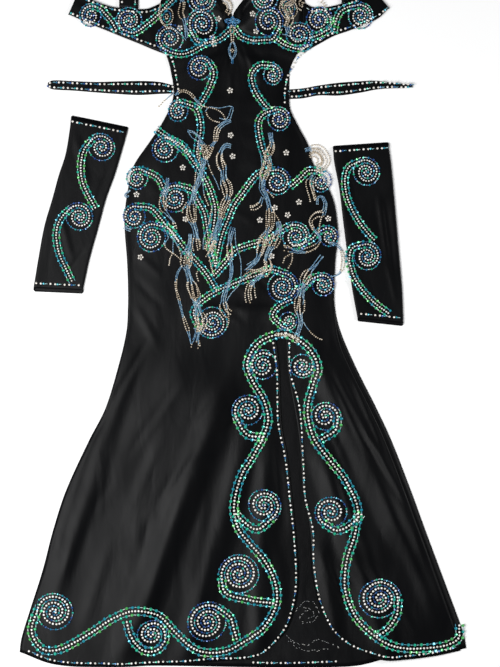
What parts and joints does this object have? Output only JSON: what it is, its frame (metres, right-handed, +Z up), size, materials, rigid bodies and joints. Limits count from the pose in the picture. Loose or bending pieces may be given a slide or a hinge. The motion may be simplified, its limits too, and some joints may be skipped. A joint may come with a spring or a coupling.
{
  "type": "belly dance costume",
  "caption": "Long black dance dress with moulded cups, arm bands, straps, a front slit, scroll beadwork and bead fringe, laid flat with its gauntlets.",
  "frame": {"origin": "under the middle of the whole set, on the surface that it lies on", "axes": "+Y from the hem to the neckline, +X to the right as seen from above, +Z up from the surface"},
  "size_m": [0.87, 1.39, 0.0342],
  "materials": {
    "black_satin": "stretch satin",
    "cup_cloth": "stretch satin over foam",
    "bead_strings": "polished beads",
    "blue_beads": "polished beads"
  },
  "bodies": {
    "root": {"back_skirt": "black_satin", "front_panel": "black_satin", "cup_left": "cup_cloth", "cup_right": "cup_cloth", "arm_band_left": "black_satin", "arm_band_right": "black_satin", "shoulder_strap_left": "black_satin", "shoulder_strap_right": "black_satin", "waist_strap_left": "black_satin", "waist_strap_right": "black_satin", "gauntlet_left": "black_satin", "gauntlet_right": "black_satin", "fringe_left_long": "bead_strings", "fringe_left_upper": "bead_strings", "fringe_centre": "bead_strings", "fringe_left_lower": "bead_strings", "fringe_middle": "bead_strings", "fringe_right_long": "bead_strings", "fringe_right_hip": "bead_strings", "fringe_right_spiral": "bead_strings", "fringe_right_lower": "bead_strings", "fringe_left_spiral": "bead_strings", "fringe_left_hip": "bead_strings", "fringe_left_waist": "bead_strings", "fringe_cup_left": "bead_strings", "fringe_cup_right": "bead_strings", "fringe_hip_loop_right": "bead_strings", "fringe_side_loop_right": "bead_strings", "centre_drop": "blue_beads"}
  },
  "joints": []
}
